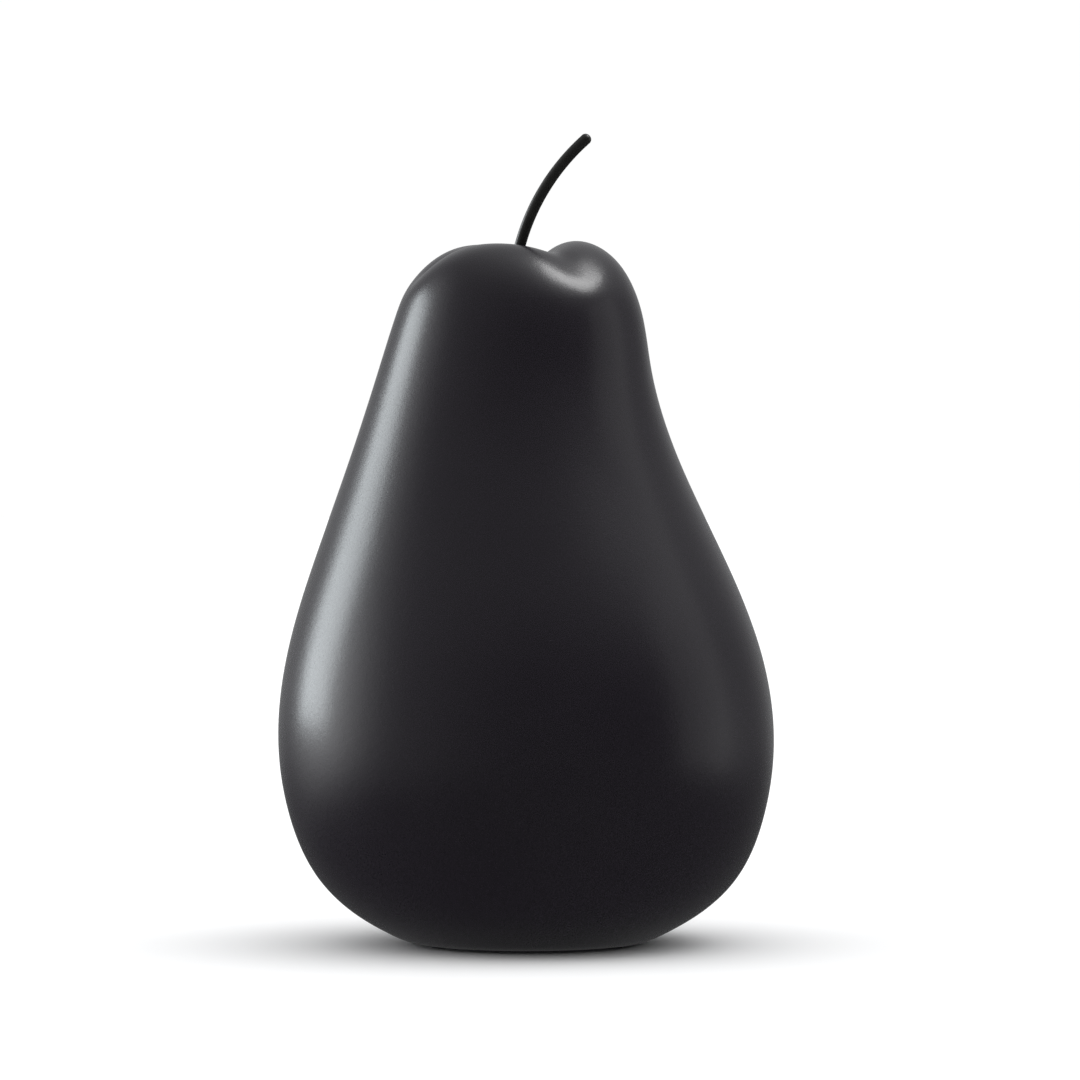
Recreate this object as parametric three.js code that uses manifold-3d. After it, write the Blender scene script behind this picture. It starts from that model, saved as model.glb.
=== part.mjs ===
// Decorative pear sculpture: a hollow cast body with a three-lobed crown, a bent rod stem and felt pads.
// Millimetres, +Z up, front towards -Y. The pads stand on z = 0, under the middle of the body.

import * as THREE from 'three';
import Module from 'manifold-3d';
import { mergeVertices } from 'three/addons/utils/BufferGeometryUtils.js';

// ---------------------------------------------------------------------------
// Driving dimensions, in millimetres. Body heights are measured from the foot face.
// ---------------------------------------------------------------------------

const footRadius = 50;
const bellyRadius = 110.6;
const bellyHeight = 90;
const neckRadius = 60.3;
const neckDrop = 54; // from the crest of the crown down to the neck
const crestRadius = 23.6;
const bodyHeight = 311; // from the foot face to the crest of the crown

// The turn from the foot face into the underside.
const footTurnReach = 12.5;
const footTurnHeight = 4;
const undersideReach = 28.5;
const undersideHeight = 13.6;

// The belly's rounding, below and above its widest level.
const lowerBellyInset = 17.7;
const lowerBellyDrop = 62.4;
const underBellyInset = 4.7;
const underBellyDrop = 34;
const upperBellyInset = 6.4;
const upperBellyRise = 44.4;

// The flank that draws in from the belly to the neck.
const flankFlare = 28.4;
const flankDrop = 79.8;
const waistFlare = 11.2;
const waistDrop = 37;

// The shoulder and the dimple that holds the stem.
const shoulderInset = 7.5;
const shoulderDrop = 25;
const shoulderTopInset = 17.8;
const shoulderTopDrop = 7.5;
const dimpleWallInset = 13.6;
const dimpleWallDrop = 9;
const dimpleDepth = 18.5;

// How far each level's centre is off the foot's axis, towards +X.
const footLean = 0.4;
const undersideLean = 0.5;
const lowerBellyLean = 0.6;
const underBellyLean = 0.3;
const bellyLean = 0;
const upperBellyLean = -1;
const flankLean = -3.2;
const waistLean = -5.5;
const neckLean = -4.8;
const shoulderLean = -2.9;
const crownLean = -3.3;
const dimpleWallLean = -5.3;
const dimpleLean = -5.9;

// Creases part the crown into lobes. Azimuths are in degrees from +X, counterclockwise from above.
// A softness of 0 is a sharp V.
const creases = [
  { azimuth: -55.5, depth: 4.4, softness: 0.28 }, // front right
  { azimuth: 63, depth: 4.2, softness: 0.3 }, // back
  { azimuth: 190, depth: 5.4, softness: 0.1 }, // left
];
const lobeRises = [1.15, -0.2, -0.35]; // raise or lower the right, back left and front lobes
const lobeFullness = 0.42; // below 1, fuller lobes and narrower creases
const creaseRunout = 33; // the creases fade out this far below the crest
const creaseFade = 1.35; // above 1, they fade sooner
const dimpleRunout = 0.7; // how quickly they fade out towards the stem

// Shell, foot ring and vent.
const wall = 5;
const footRingWidth = 14;
const footRecessDepth = 2.5;
const footRecessDraft = 1.5;
const ventRadius = 8;

// Stem rod and its socket.
const stemRadius = 2.5;
const stemSeatLean = 3.3; // degrees from vertical in the socket, towards +X
const stemStraight = 10;
const stemBendRadius = 98;
const stemBendAngle = 45;
const stemTipLength = 2.3;
const stemChamfer = 0.6;
const socketDepth = 13;
const socketClearance = 0.4;
const socketBottomGap = 0.5;
const bossWall = 4.5;

// Felt pads under the foot ring.
const padCount = 3;
const padThickness = 0.8;
const padMargin = 2;
const padStartAzimuth = 90;
const glueGap = 0.3;

// Facets.
const bodySegments = 64;
const flankRings = 24;
const crownRings = 20;
const cavitySegments = 44;
const cavityFlankRings = 16;
const cavityCrownRings = 13;
const holeSegments = 32;
const stemSegments = 16;
const stemRings = 26;
const tipRings = 4;
const padSegments = 32;

// ---------------------------------------------------------------------------
// Outline: a smooth curve through the stations, from the foot's edge to the bottom of the dimple
// ---------------------------------------------------------------------------

function station(radius, height, lean) {
  return [radius, height, lean];
}

const neckHeight = bodyHeight - neckDrop;
const dimpleHeight = bodyHeight - dimpleDepth;

const stations = [
  station(footRadius, 0, footLean),
  station(footRadius + footTurnReach, footTurnHeight, footLean),
  station(footRadius + undersideReach, undersideHeight, undersideLean),
  station(bellyRadius - lowerBellyInset, bellyHeight - lowerBellyDrop, lowerBellyLean),
  station(bellyRadius - underBellyInset, bellyHeight - underBellyDrop, underBellyLean),
  station(bellyRadius, bellyHeight, bellyLean),
  station(bellyRadius - upperBellyInset, bellyHeight + upperBellyRise, upperBellyLean),
  station(neckRadius + flankFlare, neckHeight - flankDrop, flankLean),
  station(neckRadius + waistFlare, neckHeight - waistDrop, waistLean),
  station(neckRadius, neckHeight, neckLean),
  station(neckRadius - shoulderInset, bodyHeight - shoulderDrop, shoulderLean),
  station(neckRadius - shoulderTopInset, bodyHeight - shoulderTopDrop, crownLean),
  station(crestRadius, bodyHeight, crownLean),
  station(crestRadius - dimpleWallInset, bodyHeight - dimpleWallDrop, dimpleWallLean),
  station(0, dimpleHeight, dimpleLean),
];
const shoulderStation = 10;
const crestStation = 12;

// Cubic spline with continuous curvature through points, with the given slopes at both ends.
// Its parameter is the length of the chords, so u at a point is knots[i].
function splineThrough(points, startSlope, endSlope) {
  const last = points.length - 1;
  const size = points[0].length;
  const chords = [];
  const knots = [0];
  for (let i = 0; i < last; i++) {
    const chord = Math.hypot(points[i + 1][0] - points[i][0], points[i + 1][1] - points[i][1]);
    chords.push(chord);
    knots.push(knots[i] + chord);
  }
  // Slopes from the tridiagonal system: forward sweep, then back substitution.
  const ratio = [0];
  const slopes = [startSlope];
  for (let i = 1; i < last; i++) {
    const before = chords[i - 1];
    const after = chords[i];
    const pivot = 2 * (before + after) - after * ratio[i - 1];
    ratio.push(before / pivot);
    const row = [];
    for (let k = 0; k < size; k++) {
      const rise = (after * (points[i][k] - points[i - 1][k])) / before;
      const run = (before * (points[i + 1][k] - points[i][k])) / after;
      row.push((3 * (rise + run) - after * slopes[i - 1][k]) / pivot);
    }
    slopes.push(row);
  }
  slopes.push(endSlope);
  for (let i = last - 1; i > 0; i--) {
    for (let k = 0; k < size; k++) slopes[i][k] -= ratio[i] * slopes[i + 1][k];
  }
  function at(u) {
    let i = 0;
    while (i < last - 1 && u > knots[i + 1]) i++;
    const h = chords[i];
    const t = THREE.MathUtils.clamp((u - knots[i]) / h, 0, 1);
    const start = (1 + 2 * t) * (1 - t) ** 2;
    const end = t * t * (3 - 2 * t);
    const leave = t * (1 - t) ** 2 * h;
    const arrive = t * t * (t - 1) * h;
    return points[i].map((value, k) => {
      return start * value + end * points[i + 1][k] + leave * slopes[i][k] + arrive * slopes[i + 1][k];
    });
  }
  return { at, knots, length: knots[last] };
}

const outline = splineThrough(stations, [1, 0, 0], [-1, 0, 0]);

// ---------------------------------------------------------------------------
// Skin: the outline turned about its leaning axis, with the creases pressed in along its normal
// ---------------------------------------------------------------------------

// How full the crown is at an azimuth: 0 in a crease, 1 on a lobe, with that azimuth's depth and rise.
function lobeAt(azimuth) {
  const turn = THREE.MathUtils.euclideanModulo(azimuth - creases[0].azimuth, 360);
  const starts = creases.map((crease) => crease.azimuth - creases[0].azimuth);
  let lobe = creases.length - 1;
  while (turn < starts[lobe]) lobe--;
  const from = starts[lobe];
  const to = lobe + 1 < starts.length ? starts[lobe + 1] : 360;
  const across = (turn - from) / (to - from);
  const swell = Math.sin(Math.PI * across);
  const nearStart = 0.5 + 0.5 * Math.cos(Math.PI * across);
  const first = creases[lobe];
  const next = creases[(lobe + 1) % creases.length];
  const softness = first.softness * nearStart + next.softness * (1 - nearStart);
  const soften = (x) => (x * x + softness ** 2) ** (lobeFullness / 2) - softness ** lobeFullness;
  return {
    fullness: soften(swell) / soften(1),
    depth: first.depth * nearStart + next.depth * (1 - nearStart),
    rise: lobeRises[lobe] * swell * swell,
  };
}

// How strongly the creases show along the outline: none on the flank, all at the crest.
function creaseStrength(u, radius, height) {
  if (u < outline.knots[crestStation]) {
    return THREE.MathUtils.smootherstep(height, bodyHeight - creaseRunout, bodyHeight) ** creaseFade;
  }
  return THREE.MathUtils.smootherstep(radius, 0, crestRadius) ** dimpleRunout;
}

function skinPoint(u, azimuth) {
  const step = 0.001;
  const [radius, height, lean] = outline.at(u);
  const before = outline.at(u - step);
  const after = outline.at(u + step);
  const tangent = new THREE.Vector2(after[0] - before[0], after[1] - before[1]).normalize();
  const lobe = lobeAt(azimuth);
  const strength = creaseStrength(u, radius, height);
  const press = strength * lobe.depth * (1 - lobe.fullness);
  const r = radius - tangent.y * press;
  const z = height + tangent.x * press + strength * lobe.rise;
  const angle = THREE.MathUtils.degToRad(azimuth);
  return new THREE.Vector3(lean + r * Math.cos(angle), r * Math.sin(angle), z);
}

function skinNormal(u, azimuth) {
  const uStep = 0.05;
  const turnStep = 0.5;
  const along = skinPoint(u + uStep, azimuth).sub(skinPoint(u - uStep, azimuth));
  const around = skinPoint(u, azimuth + turnStep).sub(skinPoint(u, azimuth - turnStep));
  return around.cross(along).normalize();
}

// ---------------------------------------------------------------------------
// Mesh helpers
// ---------------------------------------------------------------------------

// A closed surface from a bottom point, rings of points counterclockwise from above, and a top point.
function surfaceOfRings(bottom, rings, top) {
  const count = rings[0].length;
  const points = [bottom, ...rings.flat(), top];
  const at = (ring, j) => 1 + ring * count + (j % count);
  const lastRing = rings.length - 1;
  const topIndex = points.length - 1;
  const index = [];
  for (let j = 0; j < count; j++) {
    index.push(0, at(0, j + 1), at(0, j));
    for (let i = 0; i < lastRing; i++) {
      index.push(at(i, j), at(i, j + 1), at(i + 1, j + 1));
      index.push(at(i, j), at(i + 1, j + 1), at(i + 1, j));
    }
    index.push(at(lastRing, j), at(lastRing, j + 1), topIndex);
  }
  const geometry = new THREE.BufferGeometry().setFromPoints(points);
  geometry.setIndex(index);
  return geometry;
}

// Outline parameters from the foot's edge to just short of the dimple's bottom, finer over the crown.
function outlineSteps(flankCount, crownCount) {
  const crownStart = outline.knots[shoulderStation];
  const steps = [];
  for (let i = 0; i < flankCount; i++) steps.push((crownStart * i) / flankCount);
  for (let i = 0; i < crownCount; i++) {
    steps.push(crownStart + ((outline.length - crownStart) * i) / crownCount);
  }
  return steps;
}

function ringOf(count, pointAt) {
  return Array.from({ length: count }, (_, j) => pointAt((360 * j) / count));
}

// An upright cylinder or cone between two heights.
function uprightCylinder(bottomRadius, topRadius, low, high, segments) {
  const geometry = new THREE.CylinderGeometry(topRadius, bottomRadius, high - low, segments);
  geometry.rotateX(Math.PI / 2);
  geometry.translate(0, 0, (low + high) / 2);
  return geometry;
}

const wasm = await Module();
wasm.setup();

function toSolid(geometry) {
  const plain = geometry.clone();
  plain.deleteAttribute('normal');
  plain.deleteAttribute('uv');
  const merged = mergeVertices(plain, 0.0001);
  const mesh = new wasm.Mesh({
    numProp: 3,
    vertProperties: new Float32Array(merged.attributes.position.array),
    triVerts: new Uint32Array(merged.index.array),
  });
  return new wasm.Manifold(mesh);
}

function toGeometry(solid) {
  const mesh = solid.getMesh();
  const geometry = new THREE.BufferGeometry();
  geometry.setAttribute('position', new THREE.BufferAttribute(mesh.vertProperties, mesh.numProp));
  geometry.setIndex(new THREE.BufferAttribute(mesh.triVerts, 1));
  geometry.computeVertexNormals();
  return geometry;
}

// ---------------------------------------------------------------------------
// Stem path: straight in the socket, then one bend towards +X
// ---------------------------------------------------------------------------

const seatLean = THREE.MathUtils.degToRad(stemSeatLean);
const bendAngle = THREE.MathUtils.degToRad(stemBendAngle);
const stemBottomHeight = dimpleHeight - socketDepth + socketBottomGap;

// Moves geometry made along +Z, with z = 0 at the dimple's bottom, onto the socket's axis.
function alongSocket(geometry) {
  geometry.rotateY(seatLean);
  geometry.translate(dimpleLean, 0, dimpleHeight);
  return geometry;
}

// The rod's centre and direction at a distance from its lower end.
function stemPathAt(distance) {
  const bend = THREE.MathUtils.clamp((distance - stemStraight) / stemBendRadius, 0, bendAngle);
  const straight = Math.min(distance, stemStraight);
  const beyond = Math.max(distance - stemStraight - stemBendRadius * bendAngle, 0);
  const lean = seatLean + bend;
  const seat = (stemBottomHeight - dimpleHeight) / Math.cos(seatLean);
  const x = (seat + straight) * Math.sin(seatLean)
    + stemBendRadius * (Math.cos(seatLean) - Math.cos(lean))
    + beyond * Math.sin(lean);
  const z = (seat + straight) * Math.cos(seatLean)
    + stemBendRadius * (Math.sin(lean) - Math.sin(seatLean))
    + beyond * Math.cos(lean);
  return { centre: new THREE.Vector3(dimpleLean + x, 0, dimpleHeight + z), lean };
}

// ---------------------------------------------------------------------------
// Pieces
// ---------------------------------------------------------------------------

function makeBody() {
  const skinRings = outlineSteps(flankRings, crownRings).map((u) => {
    return ringOf(bodySegments, (azimuth) => skinPoint(u, azimuth));
  });
  const footCentre = new THREE.Vector3(footLean, 0, 0);
  const skin = toSolid(surfaceOfRings(footCentre, skinRings, skinPoint(outline.length, 0)));

  // The cavity follows the skin one wall inside it, and stops a wall above the foot's recess.
  const floor = footRecessDepth + wall;
  const cavityRings = outlineSteps(cavityFlankRings, cavityCrownRings).map((u) => {
    return ringOf(cavitySegments, (azimuth) => {
      const point = skinPoint(u, azimuth).addScaledVector(skinNormal(u, azimuth), -wall);
      point.z = Math.max(point.z, floor);
      return point;
    });
  });
  const cavityCentre = new THREE.Vector3(footLean, 0, floor);
  const cavityTop = new THREE.Vector3(dimpleLean, 0, dimpleHeight - wall);
  const cavity = toSolid(surfaceOfRings(cavityCentre, cavityRings, cavityTop));

  // A boss under the dimple takes the socket.
  const socketRadius = stemRadius + socketClearance;
  const bossRadius = socketRadius + bossWall;
  const bossDepth = socketDepth + bossWall;
  const boss = toSolid(alongSocket(uprightCylinder(bossRadius, bossRadius, -bossDepth, 0, holeSegments)));
  const socket = toSolid(
    alongSocket(uprightCylinder(socketRadius, socketRadius, -socketDepth, dimpleDepth, holeSegments)),
  );

  const recessRadius = footRadius - footRingWidth;
  const below = -1;
  const recess = toSolid(
    uprightCylinder(recessRadius, recessRadius - footRecessDraft, below, footRecessDepth, bodySegments)
      .translate(footLean, 0, 0),
  );
  const vent = toSolid(
    uprightCylinder(ventRadius, ventRadius, below, floor + wall, holeSegments).translate(footLean, 0, 0),
  );

  const body = skin.subtract(cavity.subtract(boss)).subtract(socket).subtract(recess).subtract(vent);
  return toGeometry(body);
}

function makeStem() {
  const bendLength = stemBendRadius * bendAngle;
  const rodLength = stemStraight + bendLength;
  const sections = [[0, stemRadius - stemChamfer], [stemChamfer, stemRadius]];
  for (let i = 1; i <= stemRings; i++) {
    const distance = i < 3 ? (stemStraight * i) / 2 : stemStraight + (bendLength * (i - 2)) / (stemRings - 2);
    sections.push([distance, stemRadius]);
  }
  for (let i = 1; i < tipRings; i++) {
    const angle = (Math.PI / 2) * (i / tipRings);
    sections.push([rodLength + stemTipLength * Math.sin(angle), stemRadius * Math.cos(angle)]);
  }
  const rings = sections.map(([distance, radius]) => {
    const { centre, lean } = stemPathAt(distance);
    return ringOf(stemSegments, (azimuth) => {
      const angle = THREE.MathUtils.degToRad(azimuth);
      const across = radius * Math.cos(angle);
      return new THREE.Vector3(
        centre.x + across * Math.cos(lean),
        radius * Math.sin(angle),
        centre.z - across * Math.sin(lean),
      );
    });
  });
  const tip = stemPathAt(rodLength + stemTipLength).centre;
  const geometry = surfaceOfRings(stemPathAt(0).centre, rings, tip);
  geometry.computeVertexNormals();
  return geometry;
}

function makePad() {
  const padRadius = footRingWidth / 2 - padMargin;
  return uprightCylinder(padRadius, padRadius, 0, padThickness, padSegments);
}

// ---------------------------------------------------------------------------
// Assembly
// ---------------------------------------------------------------------------

const blackLacquer = new THREE.MeshStandardMaterial({ color: 0x1d1d20, roughness: 0.36, metalness: 0 });
const blackSteel = new THREE.MeshStandardMaterial({ color: 0x141413, roughness: 0.45, metalness: 0.2 });
const blackFelt = new THREE.MeshStandardMaterial({ color: 0x19191b, roughness: 0.95, metalness: 0 });

function namedMesh(name, geometry, material) {
  const mesh = new THREE.Mesh(geometry, material);
  mesh.name = name;
  return mesh;
}

const pear = new THREE.Group();

const casting = new THREE.Group();
casting.position.z = padThickness + glueGap;
casting.add(namedMesh('pear_body', makeBody(), blackLacquer));
casting.add(namedMesh('stem', makeStem(), blackSteel));
pear.add(casting);

for (let i = 0; i < padCount; i++) {
  const pad = namedMesh(`foot_pad_${i + 1}`, makePad(), blackFelt);
  const azimuth = THREE.MathUtils.degToRad(padStartAzimuth + (360 * i) / padCount);
  const pitch = footRadius - footRingWidth / 2;
  pad.position.set(footLean + pitch * Math.cos(azimuth), pitch * Math.sin(azimuth), 0);
  pear.add(pad);
}

// The origin is under the middle of the whole piece.
const middle = new THREE.Box3().setFromObject(pear, true).getCenter(new THREE.Vector3());
pear.position.set(-middle.x, -middle.y, 0);

export default pear;
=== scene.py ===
"""Looks of the decorative pear sculpture: a lacquered cast body, a bent rod stem and felt pads.

Lengths in the shape sections are millimetres, as in the CAD part; everything is scaled to metres
when its mesh is made. Azimuths are degrees from +X, counterclockwise from above.
"""

import math

import bpy
import numpy as np
from mathutils import Matrix, Vector, noise


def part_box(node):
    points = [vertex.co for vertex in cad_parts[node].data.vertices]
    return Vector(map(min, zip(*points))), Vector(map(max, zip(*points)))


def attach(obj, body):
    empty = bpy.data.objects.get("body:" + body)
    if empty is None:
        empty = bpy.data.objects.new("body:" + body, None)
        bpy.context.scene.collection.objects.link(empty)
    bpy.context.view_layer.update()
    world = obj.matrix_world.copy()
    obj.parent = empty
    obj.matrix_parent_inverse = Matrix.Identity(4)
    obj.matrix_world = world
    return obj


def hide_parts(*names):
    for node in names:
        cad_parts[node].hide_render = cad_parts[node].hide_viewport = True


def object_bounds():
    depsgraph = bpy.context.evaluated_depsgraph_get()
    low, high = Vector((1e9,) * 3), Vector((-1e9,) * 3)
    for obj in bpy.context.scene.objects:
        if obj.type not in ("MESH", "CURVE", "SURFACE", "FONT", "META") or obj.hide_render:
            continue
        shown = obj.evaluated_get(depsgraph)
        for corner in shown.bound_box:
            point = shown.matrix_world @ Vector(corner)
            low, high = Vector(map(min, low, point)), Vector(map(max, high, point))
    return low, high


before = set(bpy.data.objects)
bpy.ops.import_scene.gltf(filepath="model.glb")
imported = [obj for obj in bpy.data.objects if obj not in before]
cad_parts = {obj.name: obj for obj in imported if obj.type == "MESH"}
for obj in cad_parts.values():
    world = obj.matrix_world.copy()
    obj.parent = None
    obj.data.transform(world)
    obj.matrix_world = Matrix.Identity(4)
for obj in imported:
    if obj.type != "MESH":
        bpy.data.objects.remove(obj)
cad_low, cad_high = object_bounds()

MM = 0.001

# ---------------------------------------------------------------------------
# Sizes, the same as the CAD part's
# ---------------------------------------------------------------------------

FOOT_RADIUS = 50.0
BELLY_RADIUS = 110.6
BELLY_HEIGHT = 90.0
NECK_RADIUS = 60.3
CREST_RADIUS = 23.6
BODY_HEIGHT = 311.0
NECK_HEIGHT = BODY_HEIGHT - 54.0
DIMPLE_DEPTH = 18.5
DIMPLE_HEIGHT = BODY_HEIGHT - DIMPLE_DEPTH
FOOT_LEAN = 0.4
DIMPLE_LEAN = -5.9

# The outline from the foot's edge to the dimple's bottom: radius, height, lean towards +X.
STATIONS = [
    (FOOT_RADIUS, 0.0, FOOT_LEAN),
    (FOOT_RADIUS + 12.5, 4.0, FOOT_LEAN),
    (FOOT_RADIUS + 28.5, 13.6, 0.5),
    (BELLY_RADIUS - 17.7, BELLY_HEIGHT - 62.4, 0.6),
    (BELLY_RADIUS - 4.7, BELLY_HEIGHT - 34.0, 0.3),
    (BELLY_RADIUS, BELLY_HEIGHT, 0.0),
    (BELLY_RADIUS - 6.4, BELLY_HEIGHT + 44.4, -1.0),
    (NECK_RADIUS + 28.4, NECK_HEIGHT - 79.8, -3.2),
    (NECK_RADIUS + 11.2, NECK_HEIGHT - 37.0, -5.5),
    (NECK_RADIUS, NECK_HEIGHT, -4.8),
    (NECK_RADIUS - 7.5, BODY_HEIGHT - 25.0, -2.9),
    (NECK_RADIUS - 17.8, BODY_HEIGHT - 7.5, -3.3),
    (CREST_RADIUS, BODY_HEIGHT, -3.3),
    (CREST_RADIUS - 13.6, BODY_HEIGHT - 9.0, -5.3),
    (0.0, DIMPLE_HEIGHT, DIMPLE_LEAN),
]
SHOULDER = 10  # the station where the crown's finer rings start
CREST = 12  # the station on top of the lobes

# The creases that part the crown into lobes. A softness of 0 is a sharp V.
CREASE_AZIMUTHS = [-55.5, 63.0, 190.0]
CREASE_DEPTHS = [4.4, 4.2, 5.4]
CREASE_SOFTNESSES = [0.28, 0.3, 0.1]
LOBE_RISES = [1.15, -0.2, -0.35]  # raise or lower the lobe that follows each crease
LOBE_FULLNESS = 0.42  # below 1, fuller lobes and narrower creases
CREASE_RUNOUT = 33.0  # how far below the crown the creases reach
CREASE_FADE = 1.35  # above 1, they fade sooner
DIMPLE_RUNOUT = 0.7

WALL = 5.0
FOOT_RING_WIDTH = 14.0
RECESS_DEPTH = 2.5
RECESS_DRAFT = 1.5
VENT_RADIUS = 8.0

STEM_RADIUS = 2.5
STEM_SEAT_LEAN = math.radians(3.3)
STEM_STRAIGHT = 10.0
STEM_BEND_RADIUS = 98.0
STEM_BEND_ANGLE = math.radians(45.0)
STEM_TIP_LENGTH = 2.3
STEM_CHAMFER = 0.6
SOCKET_DEPTH = 13.0
SOCKET_RADIUS = STEM_RADIUS + 0.4
SOCKET_BOTTOM_GAP = 0.5
BOSS_WALL = 4.5

# ---------------------------------------------------------------------------
# Outline and skin
# ---------------------------------------------------------------------------

OUTLINE_STEP = 1e-3  # either side of a point, to find the outline's direction
NORMAL_STEP = 0.05  # the same along the skin, to find its normal
NORMAL_TURN = 0.5  # the same round the skin, in degrees


def smootherstep(x):
    x = np.clip(x, 0.0, 1.0)
    return x * x * x * (x * (6.0 * x - 15.0) + 10.0)


class Outline:
    """Cubic spline with continuous curvature through the stations, level at both ends."""

    def __init__(self, points):
        self.p = np.array(points)
        self.h = np.hypot(*np.diff(self.p[:, :2], axis=0).T)
        self.knots = np.concatenate([[0.0], np.cumsum(self.h)])
        n = len(points)
        matrix = np.eye(n)
        right = np.zeros((n, 3))
        right[0] = (1.0, 0.0, 0.0)
        right[-1] = (-1.0, 0.0, 0.0)
        for i in range(1, n - 1):
            before, after = self.h[i - 1], self.h[i]
            matrix[i, i - 1 : i + 2] = after, 2.0 * (before + after), before
            rise = after * (self.p[i] - self.p[i - 1]) / before
            run = before * (self.p[i + 1] - self.p[i]) / after
            right[i] = 3.0 * (rise + run)
        self.slopes = np.linalg.solve(matrix, right)
        self.length = self.knots[-1]

    def at(self, u):
        """Radius, height and lean at each distance u along the stations."""
        i = np.clip(np.searchsorted(self.knots, u, side="right") - 1, 0, len(self.h) - 1)
        h = self.h[i][:, None]
        t = np.clip((u - self.knots[i])[:, None] / h, 0.0, 1.0)
        start = (1.0 + 2.0 * t) * (1.0 - t) ** 2 * self.p[i]
        end = t * t * (3.0 - 2.0 * t) * self.p[i + 1]
        leave = t * (1.0 - t) ** 2 * h * self.slopes[i]
        arrive = t * t * (t - 1.0) * h * self.slopes[i + 1]
        return start + end + leave + arrive


OUTLINE = Outline(STATIONS)


def lobes(azimuths):
    """Fullness (0 in a sharp crease, 1 on a lobe), crease depth and lobe rise at each azimuth."""
    starts = np.array(CREASE_AZIMUTHS) - CREASE_AZIMUTHS[0]
    ends = np.append(starts[1:], 360.0)
    turn = np.mod(azimuths - CREASE_AZIMUTHS[0], 360.0)
    lobe = np.searchsorted(starts, turn, side="right") - 1
    across = (turn - starts[lobe]) / (ends[lobe] - starts[lobe])
    swell = np.sin(np.pi * across)
    near = 0.5 + 0.5 * np.cos(np.pi * across)

    def between_creases(values):
        values = np.array(values)
        return values[lobe] * near + values[(lobe + 1) % len(values)] * (1.0 - near)

    softness = between_creases(CREASE_SOFTNESSES)
    depth = between_creases(CREASE_DEPTHS)

    def soften(x):
        return (x * x + softness**2) ** (LOBE_FULLNESS / 2.0) - softness**LOBE_FULLNESS

    return soften(swell) / soften(1.0), depth, np.array(LOBE_RISES)[lobe] * swell * swell


def skin(u, azimuths):
    """Points of the skin for every u and azimuth, as an array of shape (u, azimuth, 3)."""
    radius, height, lean = OUTLINE.at(u).T
    ahead = OUTLINE.at(np.minimum(u + OUTLINE_STEP, OUTLINE.length))
    behind = OUTLINE.at(np.maximum(u - OUTLINE_STEP, 0.0))
    tangent = ahead - behind
    size = np.hypot(tangent[:, 0], tangent[:, 1])
    along_r, along_z = tangent[:, 0] / size, tangent[:, 1] / size
    outer = smootherstep((height - BODY_HEIGHT + CREASE_RUNOUT) / CREASE_RUNOUT) ** CREASE_FADE
    inner = smootherstep(radius / CREST_RADIUS) ** DIMPLE_RUNOUT
    strength = np.where(u < OUTLINE.knots[CREST], outer, inner)
    fullness, depth, rise = lobes(azimuths)
    press = strength[:, None] * (depth * (1.0 - fullness))[None, :]
    r = radius[:, None] - along_z[:, None] * press
    z = height[:, None] + along_r[:, None] * press + strength[:, None] * rise[None, :]
    angle = np.radians(azimuths)[None, :]
    return np.stack([lean[:, None] + r * np.cos(angle), r * np.sin(angle), z], axis=-1)


def skin_normals(u, azimuths):
    ahead = skin(np.minimum(u + NORMAL_STEP, OUTLINE.length), azimuths)
    behind = skin(np.maximum(u - NORMAL_STEP, 0.0), azimuths)
    around = skin(u, azimuths + NORMAL_TURN) - skin(u, azimuths - NORMAL_TURN)
    normal = np.cross(around, ahead - behind)
    return normal / np.linalg.norm(normal, axis=-1, keepdims=True)


# ---------------------------------------------------------------------------
# Mesh helpers
# ---------------------------------------------------------------------------

ROUNDED_STEPS = 5


def circle(count):
    """Azimuths of evenly spaced points."""
    return np.arange(count) * 360.0 / count


def level_ring(radius, height, azimuths):
    """A level ring round the foot's axis."""
    angle = np.radians(azimuths)
    x = FOOT_LEAN + radius * np.cos(angle)
    return np.stack([x, radius * np.sin(angle), np.full(len(angle), height)], axis=-1)


def socket_ring(radius, depth, azimuths):
    """A ring round the socket's axis, at a depth below the dimple's bottom."""
    angle = np.radians(azimuths)
    across = radius * np.cos(angle)
    x = DIMPLE_LEAN + across * math.cos(STEM_SEAT_LEAN) - depth * math.sin(STEM_SEAT_LEAN)
    z = DIMPLE_HEIGHT - across * math.sin(STEM_SEAT_LEAN) - depth * math.cos(STEM_SEAT_LEAN)
    return np.stack([x, radius * np.sin(angle), z], axis=-1)


def ring_noise(azimuths, spread, along):
    """Smooth noise round a ring: a wider spread has more bumps, and along picks another ring."""
    return np.array([
        noise.noise(Vector((math.cos(a) * spread, math.sin(a) * spread, along)))
        for a in np.radians(azimuths)
    ])


def add_mesh(name, points, faces):
    """A smooth mesh object from points in millimetres."""
    mesh = bpy.data.meshes.new(name)
    mesh.from_pydata((points * MM).tolist(), [], faces)
    mesh.polygons.foreach_set("use_smooth", [True] * len(mesh.polygons))
    mesh.update()
    obj = bpy.data.objects.new(name, mesh)
    bpy.context.collection.objects.link(obj)
    return obj


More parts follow.
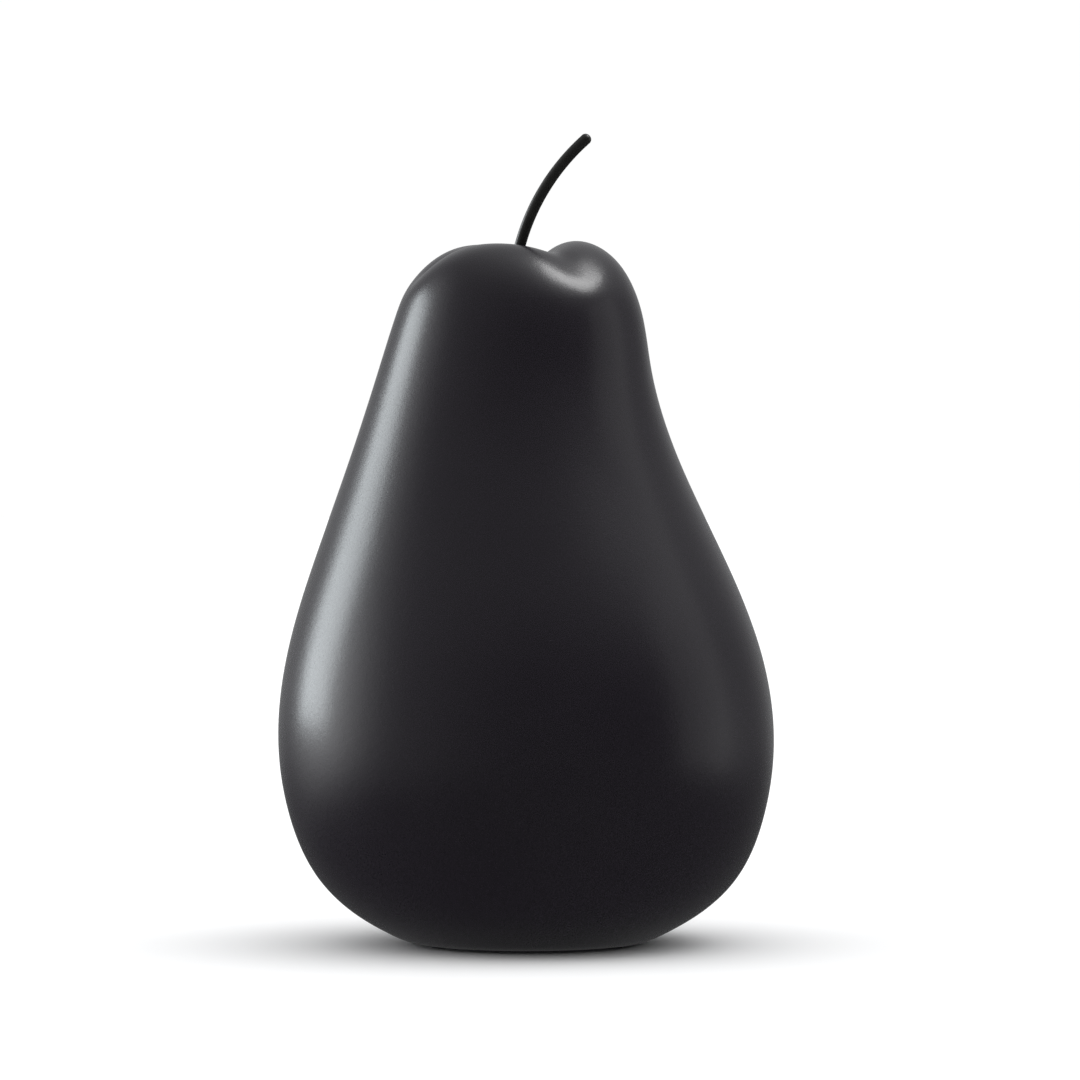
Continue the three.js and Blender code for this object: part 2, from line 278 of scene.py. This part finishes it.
def ring_mesh(name, first, rings, last):
    """A closed smooth mesh from a point, through rings of points, to a point."""
    rings = np.asarray(rings)
    layers, count = rings.shape[:2]
    points = np.concatenate([[first], rings.reshape(-1, 3), [last]])
    j = np.arange(count)
    after = (j + 1) % count
    tail = len(points) - 1
    bands = []
    for i in range(layers - 1):
        a = 1 + i * count
        b = a + count
        bands.append(np.stack([a + j, a + after, b + after, b + j], axis=1))
    quads = np.concatenate(bands)
    start_fan = np.stack([np.zeros(count, int), 1 + after, 1 + j], axis=1)
    base = 1 + (layers - 1) * count
    end_fan = np.stack([base + j, base + after, np.full(count, tail)], axis=1)
    corners = [points[quads[:, k]] for k in range(4)]
    volume = 0.0
    for a, b, c in ((0, 1, 2), (0, 2, 3)):
        volume += np.einsum("ij,ij->i", corners[a], np.cross(corners[b], corners[c])).sum()
    if volume < 0.0:  # the faces look inwards, so turn them over
        quads, start_fan, end_fan = quads[:, ::-1], start_fan[:, ::-1], end_fan[:, ::-1]
    return add_mesh(name, points, quads.tolist() + start_fan.tolist() + end_fan.tolist())


def rounded(start, corner, end, radius):
    """Radius and height pairs that round the corner of a profile."""
    start, corner, end = (np.array(p, float) for p in (start, corner, end))
    to_start = (start - corner) / np.linalg.norm(start - corner)
    to_end = (end - corner) / np.linalg.norm(end - corner)
    pairs = []
    for k in range(ROUNDED_STEPS + 1):
        t = k / ROUNDED_STEPS
        a = corner + to_start * radius * (1.0 - t) ** 2
        pairs.append(tuple(a + to_end * radius * t**2))
    return pairs


# ---------------------------------------------------------------------------
# Body: one closed shell of rings, from the socket over the skin and the foot into the cavity
# ---------------------------------------------------------------------------

SEGMENTS = 256
FLANK_RINGS = 112
CROWN_RINGS = 84
CAVITY_FLANK_RINGS = 40
CAVITY_CROWN_RINGS = 22
CAVITY_START = 2.0  # along the outline
MOUTH_RADIUS = SOCKET_RADIUS + 0.7
SOCKET_CHAMFER = 0.5
SOCKET_MOUTH = [(0.0, 0.9), (0.06, 0.55), (0.25, 0.25)]  # rounding: extra radius, depth
BOSS_ROOT = [(0.3, 1.0), (0.0, 2.0)]  # rounding: extra radius, depth below the wall
BOSS_TOP_INSET = 0.5  # the cavity's last ring stops this far inside the boss
BOSS_EDGE = 0.8
EDGE = 0.8  # rounding of the foot's edges
WAVINESS = 0.05  # hand-rubbed lacquer isn't perfectly even
LONG_WAVE = 45.0
SHORT_WAVE = 19.0


def outline_steps(start, flank_count, crown_count, end):
    crown_start = OUTLINE.knots[SHOULDER]
    flank = np.linspace(start, crown_start, flank_count, endpoint=False)
    return np.concatenate([flank, np.linspace(crown_start, end, crown_count)])


def u_at_radius(radius):
    """Where the outline comes in to this radius inside the dimple."""
    u = np.linspace(OUTLINE.knots[CREST], OUTLINE.length, 2000)
    return u[np.argmin(np.abs(OUTLINE.at(u)[:, 0] - radius))]


def wavy(points, normals):
    """Pushes points along their normals by a slow, shallow noise."""
    push = np.array([
        noise.noise(Vector(p) / LONG_WAVE) + 0.5 * noise.noise(Vector(p) / SHORT_WAVE)
        for p in points.reshape(-1, 3)
    ])
    return points + normals * (push * WAVINESS).reshape(points.shape[:2])[..., None]


def foot_profile(cavity_floor):
    """Radius and height pairs from the foot's edge to the vent's top, then on the cavity's floor."""
    recess = FOOT_RADIUS - FOOT_RING_WIDTH
    ceiling = recess - RECESS_DRAFT
    foot_corner = (recess, 0.0)
    ceiling_corner = (ceiling, RECESS_DEPTH)
    vent_mouth = (VENT_RADIUS, RECESS_DEPTH)
    vent_top = (VENT_RADIUS, cavity_floor)
    under = [(FOOT_RADIUS - 2.0, 0.0), (FOOT_RADIUS - 5.0, 0.0), (recess + 4.0, 0.0)]
    under += rounded((recess + 4.0, 0.0), foot_corner, ceiling_corner, EDGE)
    under += rounded(foot_corner, ceiling_corner, vent_mouth, EDGE)
    under += [(ceiling - 8.0, RECESS_DEPTH), (VENT_RADIUS + 6.0, RECESS_DEPTH)]
    under += rounded(ceiling_corner, vent_mouth, vent_top, EDGE)
    inside = rounded(vent_mouth, vent_top, (FOOT_RADIUS, cavity_floor), EDGE)
    inside += [(VENT_RADIUS + 8.0, cavity_floor), (FOOT_RADIUS - 14.0, cavity_floor)]
    return under, inside


def make_body():
    azimuths = circle(SEGMENTS)
    cavity_floor = RECESS_DEPTH + WALL
    boss_radius = SOCKET_RADIUS + BOSS_WALL
    boss_depth = SOCKET_DEPTH + BOSS_WALL
    rings = [
        socket_ring(SOCKET_RADIUS - SOCKET_CHAMFER, SOCKET_DEPTH, azimuths),
        socket_ring(SOCKET_RADIUS, SOCKET_DEPTH - SOCKET_CHAMFER, azimuths),
        socket_ring(SOCKET_RADIUS, SOCKET_DEPTH * 0.5, azimuths),
    ]
    rings += [socket_ring(SOCKET_RADIUS + r, depth, azimuths) for r, depth in SOCKET_MOUTH]
    u = outline_steps(0.0, FLANK_RINGS, CROWN_RINGS, u_at_radius(MOUTH_RADIUS))
    rings += list(wavy(skin(u, azimuths), skin_normals(u, azimuths))[::-1])
    under, inside = foot_profile(cavity_floor)
    # The bare casting starts halfway round the vent's top edge.
    bare_from = len(rings) + len(under) + (ROUNDED_STEPS + 1) // 2
    rings += [level_ring(r, z, azimuths) for r, z in under + inside]
    cavity_end = u_at_radius(boss_radius - BOSS_TOP_INSET)
    u = outline_steps(CAVITY_START, CAVITY_FLANK_RINGS, CAVITY_CROWN_RINGS, cavity_end)
    cavity = skin(u, azimuths) - WALL * skin_normals(u, azimuths)
    cavity[..., 2] = np.maximum(cavity[..., 2], cavity_floor)
    rings += list(cavity)
    rings += [socket_ring(boss_radius + r, WALL + depth, azimuths) for r, depth in BOSS_ROOT]
    rings.append(socket_ring(boss_radius, boss_depth - BOSS_EDGE, azimuths))
    rings.append(socket_ring(boss_radius - BOSS_EDGE, boss_depth, azimuths))
    first = socket_ring(0.0, SOCKET_DEPTH, np.zeros(1))[0]
    last = socket_ring(0.0, boss_depth, np.zeros(1))[0]
    body = ring_mesh("lacquered_pear", first, rings, last)
    body.data.materials.append(lacquer)
    body.data.materials.append(bare_cast)
    # The faces come in bands of SEGMENTS: between the rings, then the first fan, then the last.
    band = np.arange(len(body.data.polygons)) // SEGMENTS
    bare = (band >= bare_from) & (band != len(rings) - 1)
    body.data.polygons.foreach_set("material_index", bare.astype(np.int32))
    return body


def place_on(piece, node):
    """Moves a new mesh so that its box has the CAD node's foot height and its middle."""
    low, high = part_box(node)
    points = np.empty(len(piece.data.vertices) * 3)
    piece.data.vertices.foreach_get("co", points)
    points = points.reshape(-1, 3)
    own_low, own_high = points.min(axis=0), points.max(axis=0)
    shift = np.array([
        (low[0] + high[0] - own_low[0] - own_high[0]) / 2.0,
        (low[1] + high[1] - own_low[1] - own_high[1]) / 2.0,
        low[2] - own_low[2],
    ])
    piece.data.vertices.foreach_set("co", (points + shift).ravel())
    piece.data.update()
    return shift


# ---------------------------------------------------------------------------
# Stem and its glue
# ---------------------------------------------------------------------------

STEM_SEGMENTS = 64
STEM_RINGS = 170
TIP_RINGS = 14
STEM_UNEVENNESS = 0.006  # share of the radius
STEM_NOISE_SPREAD = 1.2
STEM_NOISE_LENGTH = 7.0

# The bead's closed section: radius and depth below the dimple's bottom. Its first side lies along
# the rod, and the rest of it is a little uneven.
BEAD_SECTION = [
    (2.52, 0.9),
    (2.52, -0.9),
    (2.75, -0.55),
    (3.15, -0.28),
    (3.75, -0.16),
    (3.7, 0.1),
    (2.95, 0.9),
]
BEAD_ROD_SIDE = 2.6  # no point further in than this is uneven
BEAD_UNEVENNESS = 0.05  # share of the radius


def stem_path(distance):
    """The rod's centre and lean at a distance from its lower end."""
    bend = min(max((distance - STEM_STRAIGHT) / STEM_BEND_RADIUS, 0.0), STEM_BEND_ANGLE)
    straight = min(distance, STEM_STRAIGHT)
    beyond = max(distance - STEM_STRAIGHT - STEM_BEND_RADIUS * STEM_BEND_ANGLE, 0.0)
    lean = STEM_SEAT_LEAN + bend
    seat = (SOCKET_BOTTOM_GAP - SOCKET_DEPTH) / math.cos(STEM_SEAT_LEAN)
    x = (seat + straight) * math.sin(STEM_SEAT_LEAN)
    x += STEM_BEND_RADIUS * (math.cos(STEM_SEAT_LEAN) - math.cos(lean)) + beyond * math.sin(lean)
    z = (seat + straight) * math.cos(STEM_SEAT_LEAN)
    z += STEM_BEND_RADIUS * (math.sin(lean) - math.sin(STEM_SEAT_LEAN)) + beyond * math.cos(lean)
    return (DIMPLE_LEAN + x, DIMPLE_HEIGHT + z), lean


def rod_ring(distance, radii, azimuths):
    """A ring square to the rod at a distance from its lower end."""
    (x, z), lean = stem_path(distance)
    angle = np.radians(azimuths)
    across = radii * np.cos(angle)
    return np.stack([
        x + across * math.cos(lean),
        radii * np.sin(angle),
        z - across * math.sin(lean),
    ], axis=-1)


def make_stem():
    azimuths = circle(STEM_SEGMENTS)
    length = STEM_STRAIGHT + STEM_BEND_RADIUS * STEM_BEND_ANGLE
    sections = [(0.0, STEM_RADIUS - STEM_CHAMFER), (STEM_CHAMFER, STEM_RADIUS)]
    sections += [(d, STEM_RADIUS) for d in np.linspace(1.0, length, STEM_RINGS)]
    for k in range(1, TIP_RINGS):
        angle = 0.5 * math.pi * k / TIP_RINGS
        sections.append((length + STEM_TIP_LENGTH * math.sin(angle), STEM_RADIUS * math.cos(angle)))
    rings = []
    for distance, radius in sections:
        shape = ring_noise(azimuths, STEM_NOISE_SPREAD, distance / STEM_NOISE_LENGTH)
        rings.append(rod_ring(distance, radius * (1.0 + STEM_UNEVENNESS * shape), azimuths))
    bottom = stem_path(0.0)[0]
    tip = stem_path(length + STEM_TIP_LENGTH)[0]
    stem = ring_mesh("painted_stem", (bottom[0], 0.0, bottom[1]), rings, (tip[0], 0.0, tip[1]))
    stem.data.materials.append(stem_paint)
    return stem


def make_glue_bead():
    """The low fillet of black adhesive round the rod where it enters the dimple."""
    azimuths = circle(STEM_SEGMENTS)
    rings = []
    for radius, depth in BEAD_SECTION:
        ring = socket_ring(radius, depth, azimuths)
        if radius > BEAD_ROD_SIDE:
            centre = ring.mean(axis=0)
            shape = 1.0 + BEAD_UNEVENNESS * ring_noise(azimuths, 1.0, radius)
            ring = centre + (ring - centre) * shape[:, None]
        rings.append(ring)
    faces = []
    for i in range(len(rings)):
        a = i * STEM_SEGMENTS
        b = (i + 1) % len(rings) * STEM_SEGMENTS
        for j in range(STEM_SEGMENTS):
            after = (j + 1) % STEM_SEGMENTS
            faces.append((b + j, b + after, a + after, a + j))
    bead = add_mesh("glue_bead", np.concatenate(rings), faces)
    bead.data.materials.append(adhesive)
    return bead


# ---------------------------------------------------------------------------
# Felt pads
# ---------------------------------------------------------------------------

PAD_SEGMENTS = 96
PAD_RINGS = 6
PAD_EDGE = 0.22  # rounding of the pad's rims
PAD_FUZZ = 0.05  # the rim is in by this much, give or take as much
PAD_FUZZ_SPREAD = 6.0
PAD_FUZZ_HEIGHT = 3.0


def make_pad(node):
    low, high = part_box(node)
    middle = (np.array(low) + np.array(high)) / 2.0 / MM
    radius = (high[0] - low[0]) / 2.0 / MM
    bottom, top = low[2] / MM, high[2] / MM
    azimuths = circle(PAD_SEGMENTS)
    angle = np.radians(azimuths)
    pairs = [(radius * k / PAD_RINGS, bottom) for k in range(1, PAD_RINGS)]
    pairs += rounded((0.0, bottom), (radius, bottom), (radius, top), PAD_EDGE)
    pairs += rounded((radius, bottom), (radius, top), (0.0, top), PAD_EDGE)
    pairs += [(radius * k / PAD_RINGS, top) for k in range(PAD_RINGS - 1, 0, -1)]
    rings = []
    for r, z in pairs:
        rough = ring_noise(azimuths, PAD_FUZZ_SPREAD, z * PAD_FUZZ_HEIGHT + middle[0])
        wide = r + (PAD_FUZZ * rough - PAD_FUZZ) * (r / radius)
        rings.append(np.stack([
            middle[0] + wide * np.cos(angle),
            middle[1] + wide * np.sin(angle),
            np.full(len(angle), z),
        ], axis=-1))
    first = (middle[0], middle[1], bottom)
    last = (middle[0], middle[1], top)
    pad = ring_mesh(f"felt_{node}", first, rings, last)
    pad.data.materials.append(felt)
    return pad


# ---------------------------------------------------------------------------
# Materials
# ---------------------------------------------------------------------------


def add_math(tree, operation, a, b):
    """A math node; a and b are each a number or a socket."""
    node = tree.nodes.new("ShaderNodeMath")
    node.operation = operation
    for socket, value in zip(node.inputs, (a, b)):
        if isinstance(value, float):
            socket.default_value = value
        else:
            tree.links.new(value, socket)
    return node.outputs[0]


class Shader:
    """A material with short ways to add and link its nodes."""

    def __init__(self, name):
        self.material = bpy.data.materials.new(name)
        self.material.use_nodes = True
        self.tree = self.material.node_tree
        self.bsdf = next(n for n in self.tree.nodes if n.type == "BSDF_PRINCIPLED")
        self.place = self.add("ShaderNodeTexCoord").outputs["Object"]

    def add(self, kind, **settings):
        node = self.tree.nodes.new(kind)
        for key, value in settings.items():
            setattr(node, key, value)
        return node

    def link(self, source, target):
        self.tree.links.new(source, target)

    def noise(self, scale, detail=2.0, roughness=0.5, distortion=0.0):
        node = self.add("ShaderNodeTexNoise")
        node.inputs["Scale"].default_value = scale
        node.inputs["Detail"].default_value = detail
        node.inputs["Roughness"].default_value = roughness
        node.inputs["Distortion"].default_value = distortion
        self.link(self.place, node.inputs["Vector"])
        return node.outputs["Fac"]

    def cells(self, scale):
        """Distance to the nearest of randomly scattered points."""
        node = self.add("ShaderNodeTexVoronoi")
        node.inputs["Scale"].default_value = scale
        node.inputs["Randomness"].default_value = 1.0
        self.link(self.place, node.inputs["Vector"])
        return node.outputs["Distance"]

    def remap(self, value, from_low, from_high, to_low, to_high):
        node = self.add("ShaderNodeMapRange", clamp=True)
        node.inputs["From Min"].default_value = from_low
        node.inputs["From Max"].default_value = from_high
        node.inputs["To Min"].default_value = to_low
        node.inputs["To Max"].default_value = to_high
        self.link(value, node.inputs["Value"])
        return node.outputs["Result"]

    def stretch(self, value, low=0.0, high=1.0):
        """Maps a noise's usual range to low and high."""
        return self.remap(value, 0.3, 0.7, low, high)

    def maths(self, operation, a, b):
        return add_math(self.tree, operation, a, b)

    def colour(self, factor, low, high):
        """Mixes two colours and makes the result the base colour."""
        node = self.add("ShaderNodeMix", data_type="RGBA")
        node.inputs[6].default_value = (*low, 1.0)
        node.inputs[7].default_value = (*high, 1.0)
        self.link(factor, node.inputs["Factor"])
        self.link(node.outputs[2], self.bsdf.inputs["Base Color"])

    def bump(self, height, distance, after=None):
        node = self.add("ShaderNodeBump")
        node.inputs["Strength"].default_value = 1.0
        node.inputs["Distance"].default_value = distance
        self.link(height, node.inputs["Height"])
        if after is not None:
            self.link(after, node.inputs["Normal"])
        return node.outputs["Normal"]


def make_lacquer():
    """Satin black spray lacquer: orange peel, a fine dry speckle and a few dust nibs."""
    s = Shader("satin_black_lacquer")
    cloud = s.noise(14.0, detail=3.0)
    grain = s.noise(1500.0, detail=2.0, roughness=0.6)
    s.colour(s.stretch(cloud), (0.0096, 0.0070, 0.0116), (0.0116, 0.0088, 0.0138))
    gloss = s.maths("ADD", s.stretch(cloud, 0.225, 0.255), s.stretch(grain, -0.03, 0.05))
    s.link(gloss, s.bsdf.inputs["Roughness"])
    peel = s.bump(s.noise(260.0, detail=1.0), 0.00003)
    dry = s.bump(grain, 0.000035, after=peel)
    nibs = s.remap(s.cells(38.0), 0.0, 0.014, 1.0, 0.0)
    s.link(s.bump(nibs, 0.00012, after=dry), s.bsdf.inputs["Normal"])
    s.bsdf.inputs["IOR"].default_value = 1.5
    return s.material


def make_bare_cast():
    """The unlacquered inside of the casting: pale, dry and slightly pitted."""
    s = Shader("bare_cast")
    stain = s.noise(22.0, detail=5.0, roughness=0.6)
    s.colour(s.stretch(stain), (0.30, 0.28, 0.25), (0.42, 0.40, 0.36))
    s.link(s.stretch(stain, 0.75, 0.92), s.bsdf.inputs["Roughness"])
    pits = s.remap(s.cells(420.0), 0.0, 0.35, 0.0, 1.0)
    lumps = s.bump(s.noise(180.0, detail=6.0), 0.0003)
    s.link(s.bump(pits, 0.0002, after=lumps), s.bsdf.inputs["Normal"])
    return s.material


def make_stem_paint():
    """Black paint on a metal rod: a fine grain and a slightly uneven satin."""
    s = Shader("stem_paint")
    patch = s.noise(160.0, detail=4.0, roughness=0.6)
    s.colour(s.stretch(patch), (0.0074, 0.0071, 0.0058), (0.0120, 0.0115, 0.0094))
    s.link(s.stretch(patch, 0.26, 0.38), s.bsdf.inputs["Roughness"])
    grain = s.bump(s.noise(1400.0, detail=2.0), 0.00004)
    s.link(s.bump(s.noise(420.0, detail=2.0), 0.00008, after=grain), s.bsdf.inputs["Normal"])
    return s.material


def make_adhesive():
    """Black adhesive, smoother than the paint and a little lumpy."""
    s = Shader("black_adhesive")
    patch = s.noise(900.0, detail=3.0)
    s.colour(patch, (0.006, 0.006, 0.006), (0.012, 0.012, 0.012))
    s.link(s.stretch(patch, 0.22, 0.36), s.bsdf.inputs["Roughness"])
    s.link(s.bump(s.noise(600.0, detail=2.0), 0.00010), s.bsdf.inputs["Normal"])
    return s.material


def make_felt():
    """Pressed wool felt: matted fibres and a soft edge sheen."""
    s = Shader("pressed_felt")
    fibres = s.noise(2600.0, detail=5.0, roughness=0.7, distortion=2.5)
    tufts = s.noise(700.0, detail=3.0, distortion=1.0)
    mixed = s.maths("ADD", s.maths("MULTIPLY", fibres, 0.6), s.maths("MULTIPLY", tufts, 0.4))
    s.colour(s.remap(mixed, 0.35, 0.65, 0.0, 1.0), (0.008, 0.008, 0.009), (0.035, 0.035, 0.037))
    s.link(s.stretch(tufts, 0.88, 1.0), s.bsdf.inputs["Roughness"])
    s.link(s.bump(mixed, 0.0003), s.bsdf.inputs["Normal"])
    s.bsdf.inputs["Sheen Weight"].default_value = 0.35
    s.bsdf.inputs["Sheen Roughness"].default_value = 0.5
    return s.material


lacquer = make_lacquer()
bare_cast = make_bare_cast()
stem_paint = make_stem_paint()
adhesive = make_adhesive()
felt = make_felt()

# ---------------------------------------------------------------------------
# The object
# ---------------------------------------------------------------------------

body = make_body()
casting_shift = place_on(body, "pear_body")
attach(body, "root")
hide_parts("pear_body")

stem = make_stem()
bead = make_glue_bead()
for piece in (stem, bead):
    piece.data.transform(Matrix.Translation(Vector(casting_shift)))
    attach(piece, "root")
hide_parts("stem")

for node in ("foot_pad_1", "foot_pad_2", "foot_pad_3"):
    pad = make_pad(node)
    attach(pad, "root")
    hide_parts(node)

# ---------------------------------------------------------------------------
# Camera: a long lens, above half height, looking slightly down
# ---------------------------------------------------------------------------

PICTURE_PIXELS = 1080
OBJECT_SCALE = 0.446 * MM  # metres of object across one pixel of the picture
CAMERA_DISTANCE = 2.8
CAMERA_HEIGHT = 0.2661
VIEW_CENTRE = Vector((0.0062, 0.0, 0.1801))
SENSOR_WIDTH = 36.0  # in the camera's own millimetres


def make_camera():
    data = bpy.data.cameras.new("camera")
    camera = bpy.data.objects.new("camera", data)
    bpy.context.collection.objects.link(camera)
    camera.location = (VIEW_CENTRE.x, -CAMERA_DISTANCE, CAMERA_HEIGHT)
    aim = VIEW_CENTRE - camera.location
    camera.rotation_euler = aim.to_track_quat("-Z", "Y").to_euler()
    data.sensor_width = SENSOR_WIDTH
    data.lens = SENSOR_WIDTH * aim.length / (PICTURE_PIXELS * OBJECT_SCALE)
    data.clip_end = 50.0
    bpy.context.scene.camera = camera


# ---------------------------------------------------------------------------
# Studio: pale floor, white surround, soft boxes. Azimuth 0 is towards the front, positive to +X.
# ---------------------------------------------------------------------------

STUDIO_CENTRE = Vector((0.0, 0.0, 0.16))
LIGHT_DISTANCE = 1.6
FLOOR_RADIUS = 7.0
SURROUND_RADIUS = 8.0
SURROUND_WHITE = 1.01
FLOOR_IRRADIANCE = 2.25
FLOOR_LIGHT_ANGLE = math.radians(145.0)

WORLD_TINT = (0.975, 0.985, 1.0, 1.0)
SHADE_GLOW = 0.10  # the light that comes from everywhere
ROOM_GLOW = 0.01  # added above the room's dark lower part
ROOM_HORIZON = (-20.0, -8.0)

# Soft glows: azimuth, elevation, sharpness of the cosine lobe, radiance, and the two elevations
# between which the lobe rises out of the dark lower part of the room.
GLOWS = [
    (-105.0, 6.0, 12.0, 2.2, -22.0, -2.0),
    (-70.0, 5.0, 3.0, 0.22, -22.0, -8.0),
    (180.0, 20.0, 5.0, 0.42, -10.0, -2.0),
    (106.0, 58.0, 6.0, 0.5, 0.0, 20.0),
    (108.0, 60.0, 34.0, 1.1, 0.0, 20.0),
    (74.0, 57.0, 40.0, 0.55, 0.0, 20.0),
    (105.0, -3.0, 14.0, 0.32, -14.0, -5.0),
    (0.0, 90.0, 3.0, 0.52, -5.0, 5.0),
]


def studio_direction(azimuth, elevation):
    a, e = math.radians(azimuth), math.radians(elevation)
    return Vector((math.sin(a) * math.cos(e), -math.cos(a) * math.cos(e), math.sin(e)))


def soft_box(name, azimuth, elevation, width, height, radiance, colour=(1.0, 1.0, 1.0)):
    """A rectangular light that faces the object and that the camera doesn't see."""
    data = bpy.data.lights.new(name, "AREA")
    data.shape = "RECTANGLE"
    data.size = width
    data.size_y = height
    data.energy = radiance * math.pi * width * height
    data.color = colour
    light = bpy.data.objects.new(name, data)
    bpy.context.collection.objects.link(light)
    direction = studio_direction(azimuth, elevation)
    light.location = STUDIO_CENTRE + direction * LIGHT_DISTANCE
    light.rotation_euler = direction.to_track_quat("Z", "Y").to_euler()
    light.visible_camera = False
    return light


def make_floor():
    """The pale floor, which takes the shadow and isn't mirrored in the lacquer."""
    bpy.ops.mesh.primitive_circle_add(vertices=96, radius=FLOOR_RADIUS, fill_type="NGON")
    floor = bpy.context.object
    floor.name = "studio_floor"
    floor.location = (0.0, 0.0, cad_low[2])
    s = Shader("pale_floor")
    s.colour(s.noise(2.0), (0.90, 0.90, 0.90), (0.93, 0.93, 0.93))
    s.bsdf.inputs["Roughness"].default_value = 1.0
    s.bsdf.inputs["Specular IOR Level"].default_value = 0.0
    floor.data.materials.append(s.material)
    floor.visible_glossy = False
    floor.visible_shadow = False
    return floor


def make_surround():
    """A white surround that only the camera sees."""
    bpy.ops.mesh.primitive_uv_sphere_add(segments=48, ring_count=24, radius=SURROUND_RADIUS)
    dome = bpy.context.object
    dome.name = "studio_surround"
    material = bpy.data.materials.new("surround_white")
    material.use_nodes = True
    tree = material.node_tree
    tree.nodes.clear()
    emission = tree.nodes.new("ShaderNodeEmission")
    emission.inputs["Color"].default_value = (1.0, 1.0, 1.0, 1.0)
    emission.inputs["Strength"].default_value = SURROUND_WHITE
    output = tree.nodes.new("ShaderNodeOutputMaterial")
    tree.links.new(emission.outputs[0], output.inputs["Surface"])
    dome.data.materials.append(material)
    dome.visible_glossy = False
    dome.visible_diffuse = False
    dome.visible_transmission = False
    dome.visible_volume_scatter = False
    dome.visible_shadow = False


def make_world():
    """A dim room: darkest at the front and below, with soft glows round the lights."""
    world = bpy.data.worlds.new("studio")
    bpy.context.scene.world = world
    world.use_nodes = True
    tree = world.node_tree
    tree.nodes.clear()
    place = tree.nodes.new("ShaderNodeTexCoord").outputs["Generated"]
    split = tree.nodes.new("ShaderNodeSeparateXYZ")
    tree.links.new(place, split.inputs[0])

    def maths(operation, a, b):
        return add_math(tree, operation, a, b)

    def rise(low, high):
        """0 below one elevation and 1 above the other."""
        node = tree.nodes.new("ShaderNodeMapRange")
        node.interpolation_type = "SMOOTHSTEP"
        node.inputs["From Min"].default_value = math.sin(math.radians(low))
        node.inputs["From Max"].default_value = math.sin(math.radians(high))
        tree.links.new(split.outputs["Z"], node.inputs["Value"])
        return node.outputs["Result"]

    total = maths("ADD", maths("MULTIPLY", rise(*ROOM_HORIZON), ROOM_GLOW), SHADE_GLOW)
    for azimuth, elevation, sharpness, radiance, low, high in GLOWS:
        dot = tree.nodes.new("ShaderNodeVectorMath")
        dot.operation = "DOT_PRODUCT"
        dot.inputs[1].default_value = studio_direction(azimuth, elevation)
        tree.links.new(place, dot.inputs[0])
        lobe = maths("POWER", maths("MAXIMUM", dot.outputs["Value"], 0.0), sharpness)
        glow = maths("MULTIPLY", maths("MULTIPLY", lobe, radiance), rise(low, high))
        total = maths("ADD", total, glow)
    background = tree.nodes.new("ShaderNodeBackground")
    tree.links.new(total, background.inputs["Strength"])
    background.inputs["Color"].default_value = WORLD_TINT
    output = tree.nodes.new("ShaderNodeOutputWorld")
    tree.links.new(background.outputs[0], output.inputs["Surface"])


def overhead_light():
    """A very soft light from straight above."""
    data = bpy.data.lights.new("floor_light", "SUN")
    data.energy = FLOOR_IRRADIANCE
    data.angle = FLOOR_LIGHT_ANGLE
    light = bpy.data.objects.new("floor_light", data)
    bpy.context.collection.objects.link(light)
    return light


def link_light(light, receiver, state):
    """Makes the light shine on the receiver alone (INCLUDE) or on all but it (EXCLUDE)."""
    receivers = bpy.data.collections.new(f"{light.name}_receivers")
    receivers.objects.link(receiver)
    light.light_linking.receiver_collection = receivers
    receivers.collection_objects[0].light_linking.link_state = state


make_camera()
floor = make_floor()
make_surround()
make_world()

key = soft_box(
    "key_left",
    azimuth=-115.0,
    elevation=12.7,
    width=0.70,
    height=0.86,
    radiance=5.0,
    colour=(0.90, 0.97, 1.0),
)
top = soft_box("top_right", azimuth=106.0, elevation=59.0, width=0.62, height=0.56, radiance=6.2)
fill = soft_box("fill_right", azimuth=89.0, elevation=10.5, width=1.0, height=1.3, radiance=0.28)

# The floor has its own light from above, and the soft boxes leave it alone: the pear then
# keeps its dark satin while its shadow stays an even soft pool.
link_light(overhead_light(), floor, "INCLUDE")
for light in (key, top, fill):
    link_light(light, floor, "EXCLUDE")

bpy.context.scene.view_settings.view_transform = "Standard"
bpy.context.scene.view_settings.look = "None"
